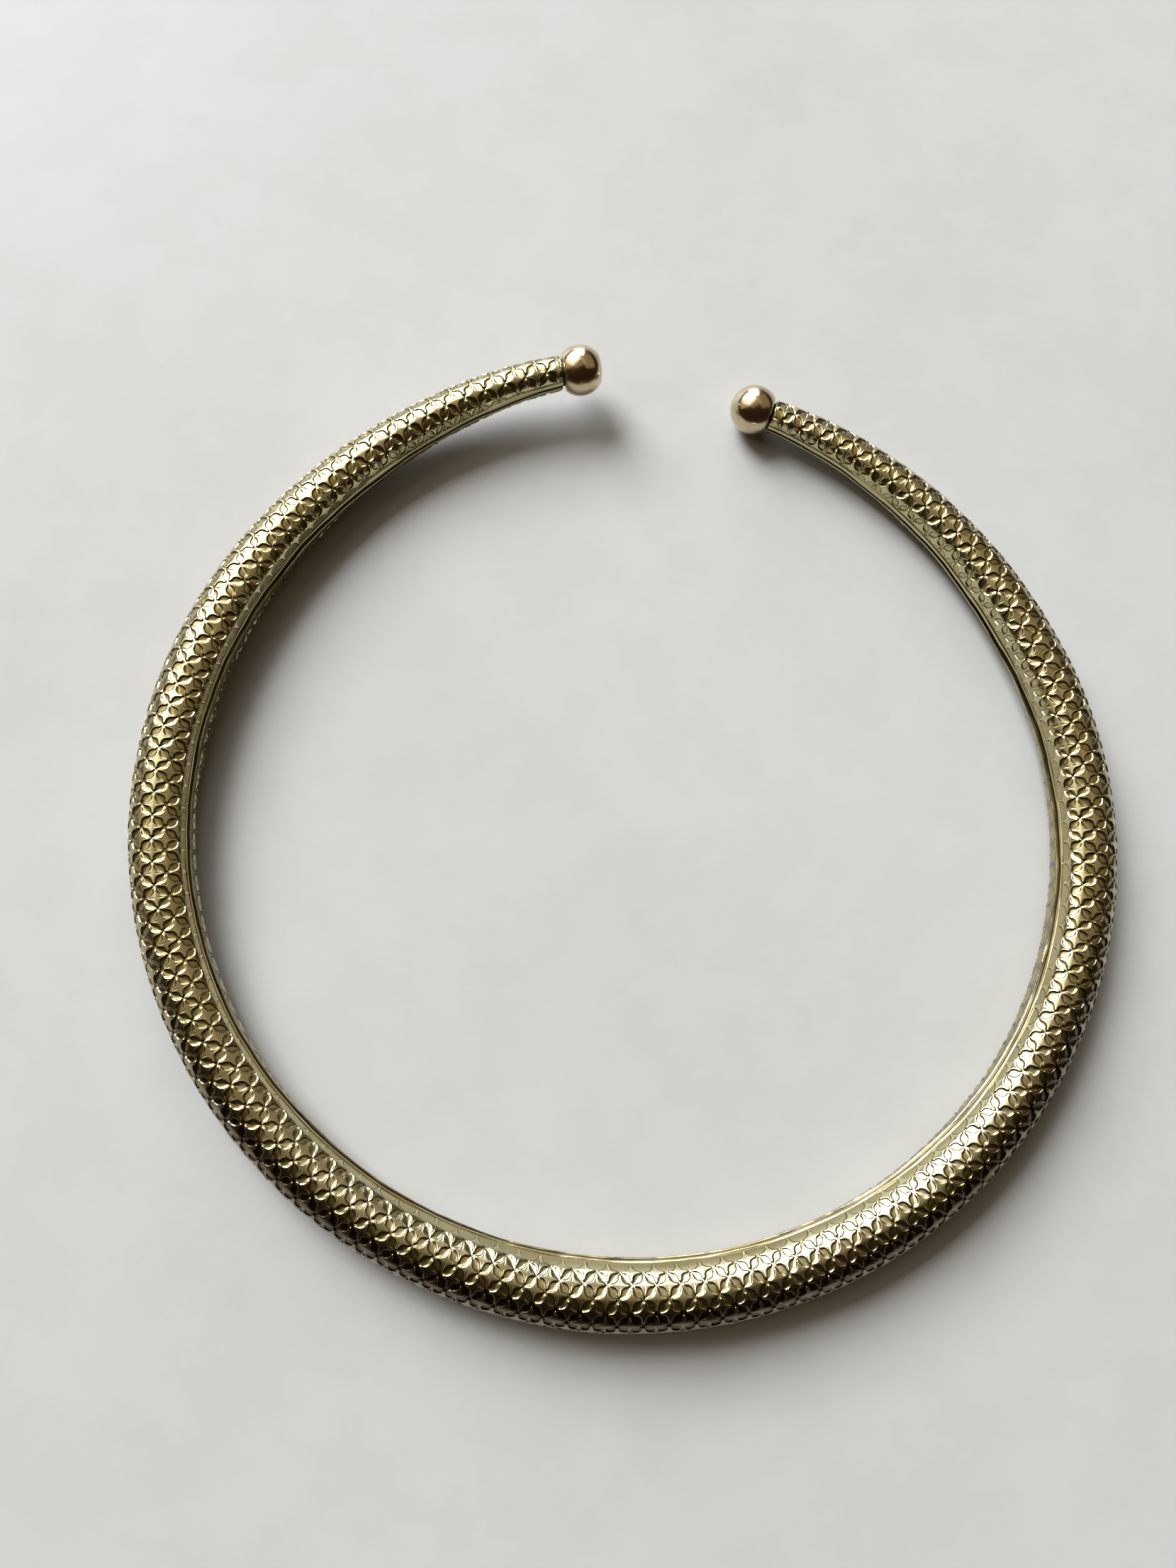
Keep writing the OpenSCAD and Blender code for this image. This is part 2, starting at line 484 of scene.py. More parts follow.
@dataclass(frozen=True)
class RingShape:
    """The tube's path and section, from the part source's own numbers.

    The last two columns lay the lattice on the sheet: how far the first row of stars lies
    from the seam, where a minus means that rows run in under the seam, and how many half
    pitches the stars run ahead of even spacing.
    """

    span: float = 331.6
    stations: int = 238
    row_pitch: float = 1.78
    corner_power: float = 20.0
    flat_none: float = 1.08
    flat_full: float = 0.29
    shift: Triple = SHIFT_MM
    rows: Tuple[Tuple[float, ...], ...] = (
        (64.75, 3.60, 2.37, 0.75, -78, -96, -2.90, -1.03),
        (64.15, 3.90, 3.26, 0.85, -78, -104, -0.72, -0.88),
        (64.16, 4.20, 3.96, 0.90, -79, -106, 1.98, -1.12),
        (64.96, 4.56, 4.42, 0.95, -83, -94, 2.75, -1.17),
        (65.55, 4.66, 4.52, 1.00, -85, -87, 3.00, -1.11),
        (65.70, 4.62, 4.48, 0.80, -85, -83, 2.64, -1.26),
        (65.39, 4.64, 4.50, 0.45, -85, -88, 2.64, -0.71),
        (64.85, 4.72, 4.58, 0.15, -85, -90, 3.00, -0.75),
        (64.50, 4.82, 4.68, 0.10, -85, -90, 3.21, 0.10),
        (64.55, 4.74, 4.60, 0.15, -85, -87, 2.77, 0.15),
        (64.92, 4.66, 4.52, 0.40, -85, -80, 2.18, 0.41),
        (65.32, 4.62, 4.48, 0.70, -85, -75, 2.19, 0.86),
        (65.34, 4.64, 4.50, 0.85, -85, -72, 2.38, 0.61),
        (65.00, 4.56, 4.42, 0.90, -83, -73, 2.59, 0.27),
        (64.83, 4.25, 3.96, 0.90, -79, -87, 2.53, 0.02),
        (65.30, 4.60, 3.27, 0.80, -78, -96, 1.38, -0.02),
        (66.30, 6.90, 2.39, 0.75, -78, -90, -0.50, -0.37),
    )

    def angle(self, station: Number) -> Number:
        """Ring angle in degrees of a station."""
        return -self.span / 2 + station * self.span / self.stations

    def curve(self, column: Column, station: Number) -> Number:
        """Smooth curve through one column of the table.

        Args:
            column: the column wanted.
            station: station number or numbers.

        Returns:
            The column's value there.
        """
        values = np.array([row[column.value] for row in self.rows])
        last = len(values) - 1
        knot = np.clip(np.asarray(station, dtype=float), 0, self.stations) * last / self.stations
        index = np.clip(np.floor(knot).astype(int), 0, last - 1)
        u = knot - index
        b = values[index]
        c = values[index + 1]
        a = np.where(index == 0, 2 * b - c, values[np.maximum(index - 1, 0)])
        d = np.where(index == last - 1, 2 * c - b, values[np.minimum(index + 2, last)])
        cubic = (2 * a - 5 * b + 4 * c - d) * u * u + (3 * b - a - 3 * c + d) * u**3
        return 0.5 * (2 * b + (c - a) * u + cubic)

    def section(self, station: Number, turn: Number) -> Number:
        """Distance from the section's middle to the plain surface.

        Args:
            station: station number or numbers.
            turn: section direction in degrees.

        Returns:
            The distance in millimetres.
        """
        body = self.curve(Column.BODY, station)
        deep = body * (self.flat_none - self.flat_full * self.curve(Column.FLAT, station))
        lean = np.maximum(0.0, np.cos(np.radians(turn - self.curve(Column.FACING, station))))
        power = self.corner_power
        return (body**-power + (lean / deep) ** power) ** (-1.0 / power)

    def point(self, station: Number, turn: Number, reach: Number) -> np.ndarray:
        """Points at given distances from the section's middle.

        Args:
            station: station numbers.
            turn: section directions in degrees.
            reach: distances from the section's middle in millimetres.

        Returns:
            An array of points in metres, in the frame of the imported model.
        """
        way = np.radians(self.angle(station))
        tilt = np.radians(turn)
        out = self.curve(Column.RADIUS, station) + reach * np.sin(tilt)
        high = self.curve(Column.HEIGHT, station) + reach * np.cos(tilt)
        spots = np.stack([-out * np.sin(way), -out * np.cos(way), high], axis=-1)
        return (spots + np.array(self.shift)) * MM

    def arcs(self, stations: np.ndarray) -> np.ndarray:
        """Arc lengths round the section from the seam on, degree by degree.

        Args:
            stations: station numbers.

        Returns:
            One row of 361 lengths in millimetres for each station.
        """
        seam = self.curve(Column.SEAM, stations)[:, None]
        turns = seam + np.arange(361)[None, :]
        reach = self.section(stations[:, None], turns)
        before = reach[:, :-1]
        after = reach[:, 1:]
        steps = np.sqrt(before**2 + after**2 - 2 * before * after * math.cos(math.radians(1)))
        return np.concatenate([np.zeros((len(stations), 1)), np.cumsum(steps, axis=1)], axis=1)

    def unroll(self, station: np.ndarray, across: np.ndarray) -> Tuple[np.ndarray, np.ndarray]:
        """Turn places on the flat sheet into section directions.

        Args:
            station: station numbers.
            across: distances from the seam's middle, round the tube, in millimetres.

        Returns:
            The section directions in degrees, and the girth at each place.
        """
        key = np.round(station * 4).astype(int)
        steps = np.unique(key)
        table = self.arcs(steps / 4.0)
        seam = self.curve(Column.SEAM, steps / 4.0)
        turn = np.zeros(len(key))
        girth = np.zeros(len(key))
        order = np.argsort(key, kind="stable")
        cuts = np.searchsorted(key[order], steps)
        ends = np.append(cuts[1:], len(key))
        for number, (start, end) in enumerate(zip(cuts, ends)):
            pick = order[start:end]
            turn[pick] = seam[number] + np.interp(across[pick], table[number], np.arange(361.0))
            girth[pick] = table[number, -1]
        return turn, girth


def build_mesh(
    name: str,
    points: np.ndarray,
    faces: np.ndarray,
    material: bpy.types.Material,
    values: Optional[Dict[str, np.ndarray]] = None,
    normals: Optional[np.ndarray] = None,
) -> bpy.types.Object:
    """Make an object from arrays.

    Args:
        name: the object's name.
        points: vertex positions in metres.
        faces: triangles as rows of three indices.
        material: the material of every face.
        values: named vertex attributes, numbers or vectors.
        normals: vertex normals that shade the mesh.

    Returns:
        The new object, linked to the scene.
    """
    mesh = bpy.data.meshes.new(name)
    mesh.vertices.add(len(points))
    mesh.vertices.foreach_set("co", points.astype(np.float32).ravel())
    mesh.loops.add(faces.size)
    mesh.loops.foreach_set("vertex_index", faces.astype(np.int32).ravel())
    mesh.polygons.add(len(faces))
    mesh.polygons.foreach_set("loop_start", np.arange(0, faces.size, faces.shape[1], dtype=np.int32))
    mesh.update(calc_edges=True)
    mesh.validate()
    mesh.shade_smooth()
    for key, value in (values or {}).items():
        flat = value.ndim == 1
        layer = mesh.attributes.new(key, "FLOAT" if flat else "FLOAT_VECTOR", "POINT")
        layer.data.foreach_set("value" if flat else "vector", value.astype(np.float32).ravel())
    mesh.materials.append(material)
    if normals is not None:
        mesh.normals_split_custom_set_from_vertices(normals.tolist())
    thing = bpy.data.objects.new(name, mesh)
    bpy.context.scene.collection.objects.link(thing)
    return thing


def vertex_normals(points: np.ndarray, faces: np.ndarray) -> np.ndarray:
    """Average the face normals round each vertex, by area.

    Args:
        points: vertex positions.
        faces: triangles.

    Returns:
        One unit normal a vertex.
    """
    a, b, c = (points[faces[:, k]] for k in range(3))
    flat = np.cross(b - a, c - a)
    total = np.zeros_like(points)
    for k in range(3):
        np.add.at(total, faces[:, k], flat)
    size = np.linalg.norm(total, axis=1, keepdims=True)
    return total / np.maximum(size, 1e-20)


@dataclass(frozen=True)
class StarCell:
    """One star of the stamped lattice with the halves of the four petals round it.

    Lengths are half pitches, so the four points where petals meet lie at 1 on each axis.
    Neighbouring stars lie one half pitch along and one row across. The star top has hollow
    sides, from its tips on the axes to its waist on the diagonals. Each level is that
    outline grown by a distance, with its rise in millimetres and its shares of star top and
    of dark low line.
    """

    steps: int = 8
    tip: float = 0.745
    tip_start: Pair = (0.695, 0.055)
    waist: float = 0.315
    room: float = 0.960
    star_top: float = 0.106
    border: float = -0.085
    node_rise: float = -0.096
    petal_deep: float = -0.120
    petal_power: float = 2.5
    bowl_share: float = 0.7
    bowl_low: float = 0.12
    tightening: float = 0.4
    levels: Tuple[Tuple[float, float, float, float], ...] = (
        (-0.130, 0.106, 0.75, 0.00),
        (0.000, 0.100, 1.00, 0.00),
        (0.018, 0.086, 0.75, 0.10),
        (0.078, -0.045, 0.00, 0.80),
        (0.150, -0.070, 0.00, 0.50),
    )

    def outline(self, growth: float) -> np.ndarray:
        """Star outline over a quadrant, grown outward by one distance, or drawn in.

        Args:
            growth: distance from the star top's own outline, or less than 0 for a share of it.

        Returns:
            Rows of two coordinates, from the tip on X to the tip on Y.
        """
        x, y = self.tip_start
        near = self.waist / math.sqrt(2.0)
        middle = (x * x + y * y - 2 * near * near) / (2 * (x + y) - 4 * near)
        radius = math.sqrt(2.0) * (middle - near)
        half = math.atan2(y - middle, x - middle) + 3 * math.pi / 4
        turns = -3 * math.pi / 4 + np.linspace(half, -half, self.steps - 1)
        arc = np.stack([np.cos(turns), np.sin(turns)], axis=1)
        spots = np.concatenate([[(self.tip, 0.0)], middle + radius * arc, [(0.0, self.tip)]])
        away = np.concatenate([[(1.0, 0.0)], -arc, [(0.0, 1.0)]])
        away[1] += (1.0, 0.0)
        away[-2] += (0.0, 1.0)
        away /= np.linalg.norm(away, axis=1, keepdims=True)
        spots = spots * (1.0 + min(growth, 0.0)) + max(growth, 0.0) * away
        return spots * np.minimum(1.0, self.room / spots.sum(axis=1))[:, None]

    def template(self) -> Tuple[np.ndarray, np.ndarray, np.ndarray]:
        """The cell's points, facts and triangles.

        Returns:
            Points as rows of two coordinates; rows of rise, star share, low share and
            looseness, which is 1 on the star and 0 on the edge shared with the next cell;
            and triangles.
        """
        count = self.steps
        share = np.linspace(-1.0, 1.0, count + 1)
        diagonal = np.stack([0.5 - 0.5 * share, 0.5 + 0.5 * share], axis=1)
        hollow = 1.0 - np.abs(share) ** self.petal_power
        deep = self.node_rise + (self.petal_deep - self.node_rise) * hollow
        rings = [(self.outline(row[0]), np.full(count + 1, row[1])) + row[2:] for row in self.levels]
        bowl = 0.5 * rings[-1][0] + 0.5 * diagonal
        rise = (1.0 - self.bowl_share) * self.levels[-1][1] + self.bowl_share * deep
        rings.append((bowl, rise, 0.0, self.bowl_low))
        rings.append((diagonal, deep, 0.0, 0.0))
        points: List[Pair] = [(0.0, 0.0)]
        facts: List[Tuple[float, float, float, float]] = [(self.star_top, 0.7, 0.0, 1.0)]
        faces: List[Tuple[int, int, int]] = []
        size = count + 1
        for quarter in range(4):
            turn = quarter * math.pi / 2
            spin = np.array([[math.cos(turn), -math.sin(turn)], [math.sin(turn), math.cos(turn)]])
            base = len(points)
            for level, (outline, rises, star, low) in enumerate(rings):
                loose = min(1.0, max(0.0, 1.0 - self.tightening * (level - 2)))
                loose = 0.0 if level == len(rings) - 1 else loose
                for spot, rise in zip(outline @ spin.T, rises):
                    points.append((float(spot[0]), float(spot[1])))
                    facts.append((float(rise), star, low, loose))
            for k in range(count):
                faces.append((0, base + k, base + k + 1))
            for level in range(len(rings) - 1):
                for k in range(count):
                    first = base + level * size + k
                    outer = first + size
                    faces += [(first, outer, outer + 1), (first, outer + 1, first + 1)]
        return np.array(points), np.array(facts), np.array(faces)


@dataclass(frozen=True)
class Wave:
    """A slow wave of the handwork: its height, its pace along and across, and its start."""

    height: float
    along: float
    across: float = 0.0
    start: float = 0.0

    def at(self, station: np.ndarray, across: Number) -> np.ndarray:
        """Height of the wave at each place."""
        return self.height * np.sin(station * self.along + across * self.across + self.start)


@dataclass
class StampedTube:
    """The collar's tube: lattice skin in four lengths, seam edges and closed ends.

    Each length has its name and the station before which it stops. A pair with in or out in
    its name holds the stations, or the section directions for the brown patina with painted
    shade and for the painted silver highlight, between which something comes in or fades out.
    The seam profile runs from its outer edge to the middle of the groove, as distance from the
    seam's middle, rise and share of dark low line.
    """

    shape: RingShape = field(default_factory=RingShape)
    cell: StarCell = field(default_factory=StarCell)
    finish: StampedFinish = field(default_factory=StampedFinish)
    node: str = "collar_tube"
    # Lengths and lattice
    lengths: Tuple[Tuple[str, int], ...] = (
        ("right_length", 65),
        ("right_front_length", 119),
        ("left_front_length", 173),
        ("left_length", 239),
    )
    station_mm: float = 1.6
    weld_steps: float = 2000.0
    skin_edge: float = 1.0
    fade_mm: float = 0.30
    # Unevenness of the handwork
    seed: int = 7
    odd_limit: float = 1.8
    sway_mm: float = 0.035
    swells: Tuple[Wave, Wave] = (Wave(0.45, 0.53, 0.6), Wave(0.45, 0.21, -0.45, 1.3))
    dents: Tuple[Wave, Wave] = (Wave(0.55, 1.07, 0.35, 2.1), Wave(1.0, 0.13, 0.9))
    slip_along: Wave = Wave(0.07, 0.31, 0.9)
    slip_across: Wave = Wave(0.05, 0.47, 0.7)
    slip_in: Pair = (0, 4)
    jitter: float = 0.028
    growth: float = 0.045
    lean: float = 0.030
    # Brown patina with painted shade on the outer slope, and a painted silver highlight on the front's top
    front_in: Pair = (50, 85)
    front_out: Pair = (140, 172)
    patina_shade_in: Pair = (-2, 26)
    patina_shade_out: Pair = (52, 85)
    patina_shade_lost: float = 0.45
    side_patina_shade: float = 0.35
    # Painted silver highlight on the front's top: its share and section directions
    highlight_share: float = 0.8
    highlight_in: Pair = (-75, -45)
    highlight_out: Pair = (-20, 6)
    # Plain band beside the seam
    low_band: float = 1.1
    low_band_in: Pair = (20, 45)
    low_band_out: Pair = (195, 222)
    border_row: float = -0.02
    dark_line: float = 0.5
    # Painted shade on the plain band beside the seam along the left arm; the band is also darkened toward
    # the right end
    band_shade_out: Pair = (50, 75)
    band_shade_in: Pair = (150, 180)
    band_shade_right: float = 0.42
    band_shade_left: float = 0.58
    band_grey: float = 0.6
    # Seam
    seam_in: Pair = (8, 40)
    seam_out: Pair = (198, 230)
    # Its low shares darken the edges with tarnish and painted shade, and the groove with painted shade
    seam_profile: Tuple[Triple, ...] = (
        (1.04, -0.110, 0.6),
        (0.99, -0.060, 0.3),
        (0.93, 0.020, 0.1),
        (0.84, 0.085, 0.0),
        (0.72, 0.105, 0.0),
        (0.60, 0.085, 0.0),
        (0.52, 0.010, 0.5),
        (0.45, -0.140, 1.5),
        (0.38, -0.290, 2.0),
        (0.00, -0.330, 2.0),
    )
    seam_pinch: float = 1.6
    seam_drift: Tuple[Wave, ...] = (Wave(0.08, 0.37), Wave(0.06, 0.91, 0.0, 0.5), Wave(0.03, 2.3))
    drift_edge: float = 0.80
    ripples: Tuple[Wave, Wave] = (Wave(0.22, 0.83, 1.0), Wave(0.12, 2.9, 2.0))
    crest_lost: float = 0.8
    crest_mm: float = 0.1
    crest_wear: float = 0.80
    under_edge: float = -0.55
    under_grey: float = 0.45
    # Closed ends
    cap_step_deg: float = 4.0
    cap_depth: float = 0.4
    cap_lip: float = 0.25
    cap_inset: float = 0.35
    cap_hole: float = 0.02
    notch_deg: float = 8.0
    notch_mm: float = 0.25

    def sway(self, station: np.ndarray, across: np.ndarray) -> np.ndarray:
        """Slow hand-made unevenness of the sheet, in millimetres.

        Args:
            station: station numbers.
            across: distances from the seam's middle in millimetres.

        Returns:
            The rise of each place.
        """
        swell = sum(wave.at(station, across) for wave in self.swells)
        dent = self.dents[0].at(station, across) * self.dents[1].at(station, across)
        return self.sway_mm * (swell + dent)

    def patina_shade_highlight(self, station: np.ndarray, turn: np.ndarray) -> np.ndarray:
        """Share of brown patina with painted shade on the outer slope, and of a painted silver highlight on
        the front's top.

        Args:
            station: station numbers.
            turn: section directions in degrees.

        Returns:
            Shares of patina and painted shade up to 1, and below 0 where the silver highlight is painted.
        """
        turn = (turn + 180.0) % 360.0 - 180.0
        # Brown patina with painted shade on the outer, lower slope of the section
        lost = self.patina_shade_lost * smooth_step(*self.patina_shade_out, turn)
        outer = smooth_step(*self.patina_shade_in, turn) * (1.0 - lost)
        front = smooth_step(*self.front_in, station) * (1.0 - smooth_step(*self.front_out, station))
        # Painted silver highlight on the upper side of the front
        wear_and_highlight = smooth_step(*self.highlight_in, turn) * (1.0 - smooth_step(*self.highlight_out, turn))
        share = self.side_patina_shade + (1.0 - self.side_patina_shade) * front
        return outer * share - self.highlight_share * wear_and_highlight * front

    def cells(self) -> np.ndarray:
        """Station and row of every star cell, with the plain row beside the seam.

        Returns:
            Rows of station and row number.
        """
        stations = np.arange(-2, self.shape.stations + 3)
        girth = self.shape.arcs(np.clip(stations, 0, self.shape.stations).astype(float))[:, -1]
        first = self.shape.curve(Column.ROW0, stations)
        spots = []
        pitch = self.shape.row_pitch
        for number, i in enumerate(stations):
            low = max(-2, int(math.floor((self.skin_edge - first[number]) / pitch - 0.1)))
            top = int((girth[number] - self.skin_edge - first[number]) / pitch) + 2
            spots += [(i, k) for k in range(low, top + 1) if (i + k) % 2 == 0]
        return np.array(spots)

    def spread(self) -> Tuple[np.ndarray, ...]:
        """Lay every cell's template on the flat sheet, with small differences from star to star.

        Returns:
            Station, row, rise, star share and low share of each point, and the triangles.
        """
        grid, facts, faces = self.cell.template()
        cells = self.cells()
        count = len(grid)
        odd = np.random.default_rng(self.seed).normal(0.0, 1.0, (len(cells), 6, 1))
        odd = np.clip(odd, -self.odd_limit, self.odd_limit)
        loose = facts[None, :, 3]
        x = grid[None, :, 0] * (1 + self.growth * odd[:, 0] * loose) + self.jitter * odd[:, 1] * loose
        y = grid[None, :, 1] * (1 + self.growth * odd[:, 2] * loose) + self.jitter * odd[:, 3] * loose
        far = np.maximum(np.abs(x) + np.abs(y), TINY)
        pull = np.where(loose > 0.0, np.minimum(1.0, self.cell.room / far), 1.0)
        x = x * pull
        y = y * pull
        lean = self.lean * odd[:, 4] * grid[None, :, 0] + self.lean * odd[:, 5] * grid[None, :, 1]
        station = cells[:, :1] + x
        row = cells[:, 1:] + y
        rise = facts[None, :, 0] + lean * facts[None, :, 1]
        star = np.repeat(facts[None, :, 1], len(cells), axis=0)
        low = np.repeat(facts[None, :, 2], len(cells), axis=0)
        border = (row < self.border_row) & (rise < 0.0)
        bare = np.repeat(cells[:, 1:] < 0, count, axis=1)
        rise = np.where(border | bare, self.cell.border, rise)
        star = np.where(bare, 0.0, star)
        # Painted shade: the plain band's low share grows toward each end of the tube
        right = 1.0 - smooth_step(*self.band_shade_out, station)
        left = smooth_step(*self.band_shade_in, station)
        stain_and_shade = self.band_shade_right * right + self.band_shade_left * left
        low = np.where(bare | (border & (low < self.dark_line)), stain_and_shade, low)
        tri = (faces[None, :, :] + np.arange(len(cells))[:, None, None] * count).reshape(-1, 3)
        return station.ravel(), row.ravel(), rise.ravel(), star.ravel(), low.ravel(), tri

    def skin(self) -> Tuple[np.ndarray, np.ndarray, Dict[str, np.ndarray], np.ndarray]:
        """Wrap the spread cells round the tube.

        Returns:
            Points, triangles, named vertex values and the station of each triangle.
        """
        station, row, rise, star, low, tri = self.spread()
        last = float(self.shape.stations)
        station = station + self.shape.curve(Column.LEAD, station)
        station = station + self.slip_along.at(station, row) * smooth_step(*self.slip_in, station)
        row = row + self.slip_across.at(station, row)
        station = np.clip(station, 0.0, last)
        across = self.shape.curve(Column.ROW0, station) + row * self.shape.row_pitch
        _, girth = self.shape.unroll(station, np.zeros_like(across))
        across = np.clip(across, self.skin_edge, girth - self.skin_edge)
        band = self.low_band * smooth_step(*self.low_band_in, station)
        band = band * (1.0 - smooth_step(*self.low_band_out, station))
        edge = np.minimum(across - self.skin_edge, girth - self.skin_edge - band - across)
        edge = np.minimum(edge, np.minimum(station, last - station) * self.station_mm)
        whole = smooth_step(0.0, self.fade_mm, edge)
        rise = self.cell.border + (rise - self.cell.border) * whole
        # Dark low line where the lattice fades into the seam's edges: tarnish and painted shade
        low = np.maximum(low * whole, 2.0 * whole * (1.0 - whole))
        star = np.where(across > 0.5 * girth, star - self.band_grey * (1.0 - whole), star)
        key = np.round(np.stack([station, across], axis=1) * self.weld_steps).astype(np.int64)
        _, first, back = np.unique(key, axis=0, return_index=True, return_inverse=True)
        middle = station[tri].mean(axis=1)
        tri = back.ravel()[tri]
        station, across, rise = station[first], across[first], rise[first]
        star, low = star[first], low[first]
        flat = np.stack([station, across], axis=1)
        ab = flat[tri[:, 1]] - flat[tri[:, 0]]
        ac = flat[tri[:, 2]] - flat[tri[:, 0]]
        keep = np.abs(ab[:, 0] * ac[:, 1] - ab[:, 1] * ac[:, 0]) > TINY
        tri, middle = tri[keep], middle[keep]
        turn, _ = self.shape.unroll(station, across)
        reach = self.shape.section(station, turn) + rise + self.sway(station, across)
        points = self.shape.point(station, turn, reach)
        # Third part: brown patina with painted shade, and below 0 the painted silver highlight
        sheet = np.stack([station * self.station_mm, across, self.patina_shade_highlight(station, turn)], axis=1)
        return points, tri, {"star": star, "low": low, "sheet_mm": sheet}, middle

    def build_skin(self, material: bpy.types.Material) -> List[bpy.types.Object]:
        """Build the lattice skin in its lengths.

        Args:
            material: the sheet's material.

        Returns:
            One object a length.
        """
        points, tri, values, middle = self.skin()
        normals = vertex_normals(points, tri)
        made = []
        start = 0
        for name, stop in self.lengths:
            part = tri[(middle >= start) & (middle < stop)]
            # Cells cut off at an edge can leave a triangle twice, so the first of each is kept
            _, first = np.unique(np.sort(part, axis=1), axis=0, return_index=True)
            part = part[np.sort(first)]
            used, back = np.unique(part, return_inverse=True)
            chosen = {key: value[used] for key, value in values.items()}
            faces = back.reshape(part.shape)
            made.append(build_mesh("skin_" + name, points[used], faces, material, chosen, normals[used]))
            start = stop
        return made

    def build_seam(self, material: bpy.types.Material) -> bpy.types.Object:
        """Build the two rolled edges and the groove between them.

        Args:
            material: the sheet's material.

        Returns:
            The seam's object.
        """
        half = np.array(self.seam_profile)
        edge = half[0, 0]
        across = np.concatenate([half[:, 0], -half[-2::-1, 0]])
        rise = np.concatenate([half[:, 1], half[-2::-1, 1]])
        low = np.concatenate([half[:, 2], half[-2::-1, 2]])
        station = np.linspace(0.0, self.shape.stations, self.shape.stations * 2 + 1)
        rows, columns = len(station), len(across)
        u = np.repeat(station, columns)
        s = np.tile(across, rows)
        girth = np.repeat(self.shape.arcs(station)[:, -1], columns)
        ends = 1.0 - smooth_step(*self.seam_in, u) * (1.0 - smooth_step(*self.seam_out, u))
        s = np.sign(s) * edge * (np.abs(s) / edge) ** (1.0 + self.seam_pinch * ends)
        drift = sum(wave.at(u, 0.0) for wave in self.seam_drift)
        s = s + drift * (1.0 - smooth_step(self.drift_edge, edge, np.abs(s)))
        turn, _ = self.shape.unroll(u, np.where(s < 0, s + girth, s))
        ripple = sum((wave.at(u, np.sign(s)) for wave in self.ripples), 1.0)
        height = np.tile(rise, rows)
        height = np.where(height > 0, height * ripple * (1.0 - self.crest_lost * ends), height)
        reach = self.shape.section(u, turn) + height + self.sway(u, s)
        points = self.shape.point(u, turn, reach)
        a = (np.arange(rows - 1)[:, None] * columns + np.arange(columns - 1)[None, :]).ravel()
        faces = np.concatenate([
            np.stack([a, a + 1, a + columns + 1], axis=1),
            np.stack([a, a + columns + 1, a + columns], axis=1),
        ])
        crest = self.crest_wear * np.clip(np.tile(rise, rows) / self.crest_mm, 0.0, 1.0)
        bright = np.where(s < self.under_edge, -self.under_grey, crest)
        # Third part of sheet_mm: brown patina with painted shade, and below 0 the painted silver highlight
        values = {
            "star": bright,
            "low": np.tile(low, rows),
            "sheet_mm": np.stack([u * self.station_mm, s, self.patina_shade_highlight(u, turn)], axis=1),
        }
        return build_mesh("seam_edges", points, faces, material, values)

    def build_cap(self, name: str, station: float, material: bpy.types.Material) -> bpy.types.Object:
        """Close one end of the tube behind its ball.

        Args:
            name: the object's name.
            station: the end's station number.
            material: the dark material.

        Returns:
            The cap's object.
        """
        turns = np.arange(0.0, 360.0, self.cap_step_deg)
        count = len(turns)
        at = np.full(count, station)
        deep = at + (self.cap_depth if station == 0 else -self.cap_depth)
        plain = self.shape.section(at, turns) + self.cell.border
        seam = self.shape.curve(Column.SEAM, np.array([station]))[0]
        gap = np.abs((turns - seam + 180.0) % 360.0 - 180.0)
        rim = plain - self.notch_mm * (gap < self.notch_deg)
        rings = [
            (at, rim),
            (at, rim - self.cap_lip),
            (deep, rim - self.cap_inset),
            (deep, rim * self.cap_hole),
        ]
        points = np.concatenate([self.shape.point(where, turns, reach) for where, reach in rings])
        faces = []
        for ring in range(len(rings) - 1):
            for k in range(count):
                a = ring * count + k
                b = ring * count + (k + 1) % count
                faces += [(a, b, b + count), (a, b + count, a + count)]
        return build_mesh(name, points, np.array(faces), material)

    def build(self, dark: bpy.types.Material) -> List[bpy.types.Object]:
        """Build and dress the whole tube.

        Args:
            dark: material of the closed ends.

        Returns:
            The tube's objects.
        """
        material = self.finish.material()
        made = self.build_skin(material)
        made.append(self.build_seam(material))
        made.append(self.build_cap("end_wall_right", 0.0, dark))
        made.append(self.build_cap("end_wall_left", float(self.shape.stations), dark))
        for piece in made:
            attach(piece, "root")
            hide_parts(self.node)
        return made


class End(Enum):
    """The collar's two ends: station share, sense of travel and node name."""

    LEFT = (1.0, 1.0, "end_ball_left")
    RIGHT = (0.0, -1.0, "end_ball_right")


